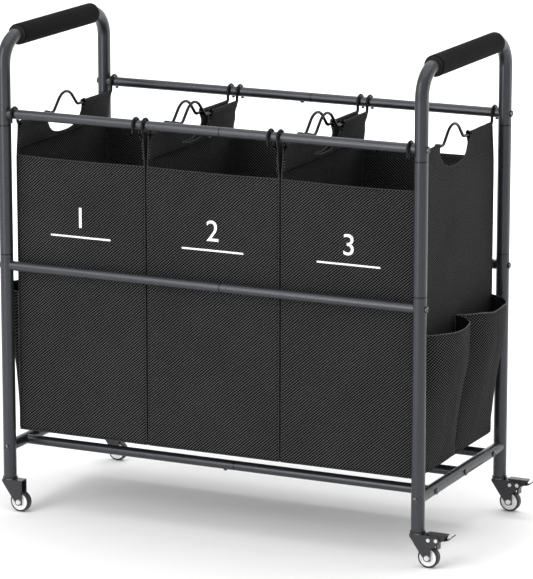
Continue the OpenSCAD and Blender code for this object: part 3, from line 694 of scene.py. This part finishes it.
class BagCloth(bpy.types.Operator):
    """Sew the three bags: walls, floor, side flaps with their notches, wire sleeves and facings"""

    bl_idname = "sorter.bag_cloth"
    bl_label = "Bag cloth"

    def execute(self, context):
        cloth = context.scene.sorter_cloth
        finish = context.scene.sorter_finish
        twill = twill_material("Bag twill", finish.cloth_light, finish.cloth_dark, finish.twill_pitch)
        for name in BAGS:
            bag = BagMeasures(name, cloth)
            bm = bmesh.new()
            self.walls(bm, bag)
            self.floor(bm, bag, cloth)
            for side in (-1, 1):
                self.flap(bm, bag, side)
            bmesh.ops.remove_doubles(bm, verts=bm.verts, dist=0.00012)
            bmesh.ops.recalc_face_normals(bm, faces=bm.faces)
            wall(keep(bm, f"{name}_bag_cloth", [twill]), cloth.thickness)
        return {"FINISHED"}

    def walls(self, bm, bag):
        steps = depth_steps(bag)
        height = bag.panel_top - bag.floor
        start = 0.0
        for which in range(4):
            wide = which in (0, 2)
            length = 2 * (bag.half_width if wide else bag.half_depth)
            columns = PANEL_COLUMNS if wide else len(steps) - 1

            def place(u, v, which=which, wide=wide, length=length, columns=columns, start=start):
                if not wide:
                    y = steps[round(u * columns)]
                    u = (y + bag.half_depth) / (2 * bag.half_depth)
                    if which == 3:
                        u = 1 - u
                z = bag.floor + height * v
                return wall_point(bag, which, u, z), (start + u * length, z)

            lay_grid(bm, columns, WALL_ROWS, place)
            start += length

    def floor(self, bm, bag, cloth):
        steps = depth_steps(bag)
        rows = len(steps) - 1

        def place(u, v):
            y = steps[round(v * rows)]
            t = depth_share(bag, y)
            front, back = wall_point(bag, 0, u, bag.floor), wall_point(bag, 2, 1 - u, bag.floor)
            left, right = wall_point(bag, 3, 1 - t, bag.floor), wall_point(bag, 1, t, bag.floor)
            point = Vector((left.lerp(right, u).x, front.lerp(back, t).y, bag.floor))
            sag = 4 * u * (1 - u) * (4 * t * (1 - t)) ** 0.8
            point.z -= cloth.floor_sag * sag * (1 + 0.35 * ripple(bag.seed, u * 4, t * 5, 9))
            return point, (bag.half_width * 2 * u, y)

        lay_grid(bm, PANEL_COLUMNS, rows, place)

    def flap(self, bm, bag, side):
        """One side panel above the other panels' top edges, with its sleeves and facing."""
        steps = depth_steps(bag)
        columns = len(steps) - 1
        which = 1 if side > 0 else 3
        start = 2 * bag.half_width + (0 if side > 0 else 2 * (bag.half_width + bag.half_depth))
        free = bag.side == side

        def cloth_u(y):
            return start + (y + bag.half_depth if side > 0 else bag.half_depth - y)

        def outer(y, z):
            """A point of the flap's outer face."""
            if z <= bag.panel_top:
                t = depth_share(bag, y)
                return wall_point(bag, which, t if side > 0 else 1 - t, z)
            point = side_point(bag, side, y, z)
            rise = (z - bag.panel_top) / (bag.wire_z - bag.panel_top)
            slack = math.sin(math.pi * min(max(rise, 0), 1)) * (0.0018 if free else 0.0011)
            point.x -= side * slack * (0.9 + ripple(bag.seed, y * 26 + z * 30, z * 25, side * 3))
            return point

        def upper(u, v):
            y = steps[round(u * columns)]
            top = notch_line(bag, y)
            z = bag.panel_top + (top - bag.panel_top) * v
            return outer(y, z), (cloth_u(y), z)

        lay_grid(bm, columns, FLAP_ROWS, upper)

        def facing_point(y, z):
            """A point of the facing, which comes down from the wire and lies loosely against the flap."""
            point = outer(y, z)
            down = ease((bag.wire_z - z) / 0.016)
            loose = 0.0028 + 0.0016 * max(0.0, ripple(bag.seed, y * 30, z * 36, side * 7 + 4))
            loose += 0.0012 * max(0.0, ripple(bag.seed, y * 75 + z * 60, 2, side))
            start_x = bag.x + side * (bag.wire - bag.sleeve)
            point.x = start_x + (point.x - side * loose - start_x) * down
            return point

        for end in (-1, 1):
            edge = [y for y in steps if y * end >= bag.notch_half - 1e-6]

            def rolled(u, v, edge=edge, end=end):
                """From the flap's top edge over the wire to the inside, bunched where the sleeve ends."""
                y = edge[round(u * (len(edge) - 1))]
                past = abs(y) - bag.notch_half
                middle = math.sin(math.pi * v)
                lump = 0.0021 * math.exp(-((past / 0.006) ** 2)) * (1 + 0.4 * math.sin(v * 11 + end))
                crease = 0.0004 * ripple(bag.seed, y * 70, v * 4, side)
                r = bag.sleeve + (lump + crease) * min(1.0, middle * 2.5)
                turn = math.pi * v
                centre = Vector((bag.x + side * bag.wire, y, bag.wire_z))
                point = centre + Vector((side * r * math.cos(turn), 0, r * math.sin(turn)))
                if v < 1e-6:
                    point = outer(y, bag.wire_z)
                elif v > 1 - 1e-6:
                    point = facing_point(y, bag.wire_z)
                return point, (cloth_u(y), bag.wire_z + 0.012 * v)

            lay_grid(bm, len(edge) - 1, ROLL_ROWS, rolled)

        def facing(u, v):
            y = steps[round(u * columns)]
            top = notch_line(bag, y)
            z = top + (bag.facing_foot - top) * v
            return facing_point(y, z), (cloth_u(y), bag.wire_z + 0.012 + (bag.wire_z - z))

        lay_grid(bm, columns, FACING_ROWS, facing)


class BagTrim(bpy.types.Operator):
    """Add the corded seams, the bound edges of the notches, the hems and their stitches to each bag"""

    bl_idname = "sorter.bag_trim"
    bl_label = "Bag seams and stitches"

    def execute(self, context):
        cloth = context.scene.sorter_cloth
        finish = context.scene.sorter_finish
        cord = cord_material("Seam cord", [c * 1.05 for c in finish.cloth_light], finish.cloth_dark)
        thread = cord_material("Thread", (0.10, 0.10, 0.102), (0.02, 0.02, 0.02))
        for name in BAGS:
            bag = BagMeasures(name, cloth)
            cords(f"{name}_bag_piping", self.seams(bag, cloth), cloth.piping_radius, cord)
            cords(f"{name}_bag_binding", self.bindings(bag), cloth.piping_radius * 0.95, cord)
            stitches(f"{name}_bag_stitches", self.stitch_rows(bag), cloth.stitch_length, thread)
        return {"FINISHED"}

    def seams(self, bag, cloth):
        """The four upright seams and the seam round the floor."""
        paths = []
        for sx in (-1, 1):
            for sy in (-1, 1):
                top = bag.wire_z - 0.001
                heights = [bag.floor + (top - bag.floor) * i / 110 for i in range(111)]
                inward = Vector((-sx, -sy, 0)) * cloth.piping_radius * 0.35
                paths.append([corner_point(bag, sx, sy, z) + inward for z in heights])
        ring = [wall_point(bag, which, i / 24, bag.floor) for which in range(4) for i in range(24)]
        paths.append(ring + ring[:1])
        return paths

    def bindings(self, bag):
        """The bound edges of the notches and the top edges of the front and back panels."""
        paths = []
        steps = [y for y in depth_steps(bag) if abs(y) < bag.notch_half - 1e-4]
        for side in (-1, 1):
            path = []
            for y in steps:
                point = side_point(bag, side, y, notch_line(bag, y))
                path.append(point - Vector((side * 0.0018, 0, 0)))
            paths.append(path)
        for which, out in ((0, -1), (2, 1)):
            row = [wall_point(bag, which, u, bag.panel_top) for u in shares(PANEL_COLUMNS)]
            paths.append([p + Vector((0, -out * 0.0006, -0.0002)) for p in row])
        return paths

    def stitch_rows(self, bag):
        """Hem stitches on the front and back panels, and the facings' stitches inside and outside."""
        rows = []
        hem = 0.016
        for which, out in ((0, -1), (2, 1)):
            for shift in (out * 0.0002, -out * 0.0014):
                along = [0.01 + 0.98 * i / PANEL_COLUMNS for i in range(PANEL_COLUMNS + 1)]
                row = [wall_point(bag, which, u, bag.panel_top - hem) for u in along]
                rows.append([p + Vector((0, shift, 0)) for p in row])
        for side in (-1, 1):
            for out in (0.0002, -0.0052):
                row = []
                for i in range(49):
                    y = -bag.half_depth + 0.003 + (2 * bag.half_depth - 0.006) * i / 48
                    point = side_point(bag, side, y, bag.facing_foot + 0.003)
                    row.append(point + Vector((side * out, 0, 0)))
                rows.append(row)
        return rows


# How far a pocket stands out over its height, from its foot to its rim
POCKET_PROFILE = (
    (0.0, 0.006), (0.18, 0.017), (0.42, 0.028), (0.58, 0.0355),
    (0.67, 0.0415), (0.78, 0.0455), (1.0, 0.0475))


class SidePockets(bpy.types.Operator):
    """Sew the two open pockets on the outer panel of each end bag"""

    bl_idname = "sorter.side_pockets"
    bl_label = "Side pockets"

    def execute(self, context):
        cloth = context.scene.sorter_cloth
        finish = context.scene.sorter_finish
        pitch = finish.twill_pitch * 1.1
        twill = twill_material("Pocket twill", finish.cloth_light, finish.cloth_dark, pitch, 0.95)
        cord = cord_material("Pocket cord", [c * 2.6 for c in finish.cloth_light], finish.cloth_dark)
        thread = cord_material("Pocket thread", (0.10, 0.10, 0.102), (0.02, 0.02, 0.02))
        for name, side in END_SIDE.items():
            bag = BagMeasures(name, cloth)
            low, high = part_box(f"{name}_side_pockets")
            bm = bmesh.new()
            paths, rows = [], []
            for row in (-1, 1):
                shape = self.shape(bag, side, row, low, high)
                lay_grid(bm, POCKET_COLUMNS, POCKET_ROWS, shape)
                rim = [shape(u, 1.0)[0] for u in shares(POCKET_COLUMNS)]
                paths.append(rim)
                paths += [[shape(u, v)[0] for v in shares(30)] for u in (0.0, 1.0)]
                hem = [shape(u, POCKET_HEM)[0] for u in shares(POCKET_COLUMNS)]
                rows.append([place + Vector((side * 0.0004, 0, 0)) for place in hem])
            bmesh.ops.recalc_face_normals(bm, faces=bm.faces)
            outward = sum(face.normal.x * side * face.calc_area() for face in bm.faces)
            if outward < 0:
                bmesh.ops.reverse_faces(bm, faces=bm.faces)
            wall(keep(bm, f"{name}_pocket_cloth", [twill]), cloth.thickness)
            cords(f"{name}_pocket_binding", paths, cloth.piping_radius, cord)
            stitches(f"{name}_pocket_stitches", rows, cloth.stitch_length, thread)
        return {"FINISHED"}

    def shape(self, bag, side, row, low, high):
        """The surface of one pocket: u across its width and v from its foot to its rim."""
        middle = row * bag.half_depth / 2
        half = bag.half_depth / 2 - 0.0013
        foot, rim = low.z - 0.001, high.z
        deepest = max(depth for _, depth in POCKET_PROFILE)
        reach = (high.x - low.x) / deepest
        seed = bag.seed + Vector((side * 3, row * 17, 0))

        def point(u, v):
            bulge = between(POCKET_PROFILE, v) * reach - 0.0008
            across = 2 * u - 1
            arch = math.sqrt(max(1 - abs(across) ** 2.3, 0.0)) ** 1.25
            y = middle + half * across
            loose = math.sin(math.pi * u) ** 0.6 if 0 < u < 1 else 0.0
            fold = 0.0016 * ripple(seed, across * 2.6 + v, v * 1.8)
            fold += 0.0005 * ripple(seed, across * 9 + v * 3, v * 3.5, 4)
            gather = 0.0003 * math.sin(across * 15 + row) * (1 - v) ** 1.5
            out = bag.half_width + 0.0004 + bulge * arch + (fold + gather) * loose * min(1.0, bulge / 0.02)
            out = min(out, bag.half_width + reach * deepest - 0.0004)
            z = foot + (rim - foot) * v
            z += 0.004 * loose * v ** 6 * ripple(seed, across * 2.2, 8)
            z -= 0.0015 * v ** 4 * (1 - abs(across))
            length = half * (across + 0.25 * across ** 3)
            return Vector((bag.x + side * out, y, z)), (side * length + middle, z)

        return point


class BagNumbers(bpy.types.Operator):
    """Print a plain number with a bar under it on each bag's front panel"""

    bl_idname = "sorter.bag_numbers"
    bl_label = "Printed numbers"

    def execute(self, context):
        cloth = context.scene.sorter_cloth
        number = context.scene.sorter_number
        finish = context.scene.sorter_finish
        ink = ink_material(finish.ink, finish.twill_pitch)
        for name in BAGS:
            bag = BagMeasures(name, cloth)
            top = bag.panel_top - number.top
            bm = bmesh.new()
            digit = self.digit(NUMBERS[name], number, top)
            bm.from_mesh(digit)
            bpy.data.meshes.remove(digit)
            self.bar(bm, number, top - number.height - number.bar_gap)
            layer = bm.loops.layers.uv.verify()
            for corner in bm.verts:
                u = (corner.co.x + bag.half_width) / (2 * bag.half_width)
                surface = wall_point(bag, 0, u, corner.co.z)
                front = surface.y - 0.0003 + corner.co.y
                corner.co = Vector((bag.x + corner.co.x, front, corner.co.z))
            for face in bm.faces:
                for loop in face.loops:
                    loop[layer].uv = (loop.vert.co.x - bag.x + bag.half_width, loop.vert.co.z)
            keep(bm, f"{name}_bag_number", [ink], smooth=False)
        return {"FINISHED"}

    def bar(self, bm, number, top):
        """The bar under a number, in short lengths so that it lies on the cloth."""
        size = Matrix.Diagonal((number.bar_width, number.ink_thickness, number.bar_height, 1))
        place = Matrix.Translation((0, 0, top - number.bar_height / 2))
        made = bmesh.ops.create_cube(bm, size=1, matrix=place @ size)
        edges = {edge for corner in made["verts"] for edge in corner.link_edges}
        long = [edge for edge in edges if abs(edge.verts[0].co.x - edge.verts[1].co.x) > number.bar_width / 2]
        bmesh.ops.subdivide_edges(bm, edges=long, cuts=BAR_CUTS)

    def digit(self, text, number, top):
        """An upright digit, centred across the panel."""
        font = bpy.data.curves.new("digit", "FONT")
        font.body = text
        font.size = number.height / DIGIT_SHARE
        font.extrude = number.ink_thickness / 2
        font.resolution_u = 6
        holder = bpy.data.objects.new("digit", font)
        bpy.context.scene.collection.objects.link(holder)
        bpy.context.view_layer.update()
        mesh = bpy.data.meshes.new_from_object(holder.evaluated_get(bpy.context.evaluated_depsgraph_get()))
        bpy.data.objects.remove(holder)
        bpy.data.curves.remove(font)
        xs = [corner.co.x for corner in mesh.vertices]
        ys = [corner.co.y for corner in mesh.vertices]
        centre = Vector((-(min(xs) + max(xs)) / 2, -max(ys), 0))
        upright = Matrix.Translation((0, 0, top)) @ Matrix.Rotation(math.radians(90), 4, "X")
        mesh.transform(upright @ Matrix.Translation(centre))
        return mesh


class FrameFinish(bpy.types.Operator):
    """Coat the tubes and rails, and give the hand grips their foam"""

    bl_idname = "sorter.frame_finish"
    bl_label = "Frame coat and grips"

    def execute(self, context):
        finish = context.scene.sorter_finish
        joints = (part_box("front_left_middle_post")[0].z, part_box("left_handle_tube")[0].z)
        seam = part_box("front_top_rail_left")[1].x
        dress(coat_material("Post coat", finish.coat, 0.28, 0.00006, 0.45, ("Z", joints)),
              *nodes_with("post", "handle_tube"))
        dress(coat_material("Rail coat", finish.coat, 0.28, 0.00006, 0.45, ("X", (seam,))),
              *nodes_with("rail_left", "rail_right", "low_rails", "side_rail"))
        low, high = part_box("right_foam_grip")
        dress(foam_material(finish.foam, (high.y - low.y) / 2), *nodes_with("foam_grip"))
        return {"FINISHED"}


class HardwareFinish(bpy.types.Operator):
    """Give the screws, casters, brake pedals and hanger wires their finishes"""

    bl_idname = "sorter.hardware_finish"
    bl_label = "Screws, casters and wires"

    def execute(self, context):
        dress(metal_material("Black screws", (0.10, 0.10, 0.103), 0.22), *nodes_with("screws"))
        zinc = metal_material("Zinc plate", (0.80, 0.80, 0.81), 0.22)
        dress(zinc, *nodes_with("threaded_inserts", "caster_stems", "caster_washers", "axle", "brake_pins"))
        dress(plastic_material("Socket plastic", (0.009, 0.009, 0.0095), 0.32), *nodes_with("caster_sockets"))
        dress(coat_material("Fork plate", (0.018, 0.0185, 0.021), 0.26, 0.00004, 0.2), *nodes_with("fork"))
        pedal = coat_material("Pedal plate", (0.008, 0.008, 0.009), 0.28, 0.00005, 0.2)
        dress(pedal, *nodes_with("brake_pedal"))
        dress(tyre_material(), *nodes_with("tyre"))
        dress(plastic_material("Hub plastic", (0.84, 0.84, 0.83), 0.28, 0.3), *nodes_with("hub"))
        dress(wire_material(), *nodes_with("bag_wires"))
        return {"FINISHED"}


class HangBags(bpy.types.Operator):
    """Let each cloth piece ride on its bag and stand for the plain bag"""

    bl_idname = "sorter.hang_bags"
    bl_label = "Hang the bags"

    def execute(self, context):
        things = bpy.data.objects
        for name in BAGS:
            cloth = things[f"{name}_bag_cloth"]
            extras = [things[f"{name}_bag_{part}"] for part in ("piping", "binding", "stitches", "number")]
            for piece in (cloth, *extras):
                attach(piece, f"{name}_bag_set")
            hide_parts(f"{name}_bag")
        for name in END_SIDE:
            cloth = things[f"{name}_pocket_cloth"]
            extras = [things[f"{name}_pocket_{part}"] for part in ("binding", "stitches")]
            for piece in (cloth, *extras):
                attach(piece, f"{name}_bag_set")
            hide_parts(f"{name}_side_pockets")
        return {"FINISHED"}


class Stage(bpy.types.Operator):
    """Set up the floor, the soft lights and the camera"""

    bl_idname = "sorter.stage"
    bl_label = "Stage"

    def execute(self, context):
        stage = context.scene.sorter_stage
        self.floor()
        self.world(context, stage.sky)
        self.softbox("Key light", (-2.0, -3.6, 2.9), (0, 0, 0.45), (2.8, 2.8), stage.key)
        self.softbox("Top light", (0.2, 0.4, 4.2), (0, 0, 0), (5.0, 5.0), stage.key)
        self.softbox("Left strip", (-1.1, -3.6, 0.75), (0, 0, 0.4), (0.35, 1.5), stage.key * 0.34)
        self.softbox("Rim strip", (3.2, 1.5, 0.75), (0, 0, 0.4), (0.35, 1.4), stage.key * 0.15)
        self.softbox("Backdrop light", (0.0, 3.2, 4.5), (0, 7.5, 0.5), (3.5, 3.5), stage.key * 3.2)
        self.camera(context, stage)
        context.scene.view_settings.view_transform = "Standard"
        return {"FINISHED"}

    def floor(self):
        """A wide floor that sweeps up far behind the sorter."""
        bm = bmesh.new()
        bmesh.ops.create_grid(bm, x_segments=2, y_segments=60, size=14.0)
        for corner in bm.verts:
            past = corner.co.y - 5.0
            if past > 0:
                corner.co.z = 4.5 * (1 - math.cos(min(past / 4.5, math.pi / 2))) + max(past - 7.07, 0.0) * 2.0
                corner.co.y = 5.0 + 4.5 * math.sin(min(past / 4.5, math.pi / 2))
        keep(bm, "studio_floor", [floor_material()])

    def world(self, context, strength):
        world = bpy.data.worlds.new("Studio")
        world.use_nodes = True
        world.node_tree.nodes["Background"].inputs["Color"].default_value = (1, 1, 1, 1)
        world.node_tree.nodes["Background"].inputs["Strength"].default_value = strength
        context.scene.world = world

    def softbox(self, name, place, aim, size, power):
        light = bpy.data.lights.new(name, "AREA")
        light.shape = "RECTANGLE"
        light.size, light.size_y = size
        light.energy = power
        lamp = bpy.data.objects.new(name, light)
        lamp.location = place
        lamp.visible_camera = False
        lamp.rotation_euler = (Vector(aim) - Vector(place)).to_track_quat("-Z", "Y").to_euler()
        bpy.context.scene.collection.objects.link(lamp)

    def camera(self, context, stage):
        aim = Vector(stage.aim)
        flat = math.cos(stage.elevation)
        across, ahead = math.sin(stage.azimuth) * flat, math.cos(stage.azimuth) * flat
        back = Vector((across, -ahead, math.sin(stage.elevation)))
        lens = bpy.data.cameras.new("Camera")
        lens.lens = stage.lens
        lens.sensor_width = 36
        lens.clip_end = 60
        camera = bpy.data.objects.new("Camera", lens)
        camera.location = aim + back * stage.distance
        camera.rotation_euler = (-back).to_track_quat("-Z", "Y").to_euler()
        context.scene.collection.objects.link(camera)
        context.scene.camera = camera


class SorterPanel(bpy.types.Panel):
    """The sorter's steps and sizes"""

    bl_idname = "VIEW3D_PT_laundry_sorter"
    bl_label = "Laundry Sorter"
    bl_space_type = "VIEW_3D"
    bl_region_type = "UI"
    bl_category = "Laundry Sorter"

    def draw(self, context):
        for step in STEPS:
            self.layout.operator(step.bl_idname)
        for name, group in GROUPS.items():
            box = self.layout.box()
            for field in group.__annotations__:
                box.prop(getattr(context.scene, name), field)


STEPS = (Stage, FrameFinish, HardwareFinish, BagCloth, BagTrim, SidePockets, BagNumbers, HangBags)


def register():
    for kind in (*GROUPS.values(), *STEPS, SorterPanel):
        bpy.utils.register_class(kind)
    for name, group in GROUPS.items():
        setattr(bpy.types.Scene, name, PointerProperty(type=group))


def unregister():
    for name in GROUPS:
        delattr(bpy.types.Scene, name)
    for kind in reversed((*GROUPS.values(), *STEPS, SorterPanel)):
        bpy.utils.unregister_class(kind)


def main():
    register()
    bpy.ops.sorter.stage()
    bpy.ops.sorter.frame_finish()
    bpy.ops.sorter.hardware_finish()
    bpy.ops.sorter.bag_cloth()
    bpy.ops.sorter.bag_trim()
    bpy.ops.sorter.side_pockets()
    bpy.ops.sorter.bag_numbers()
    bpy.ops.sorter.hang_bags()


if __name__ == "__main__":
    main()
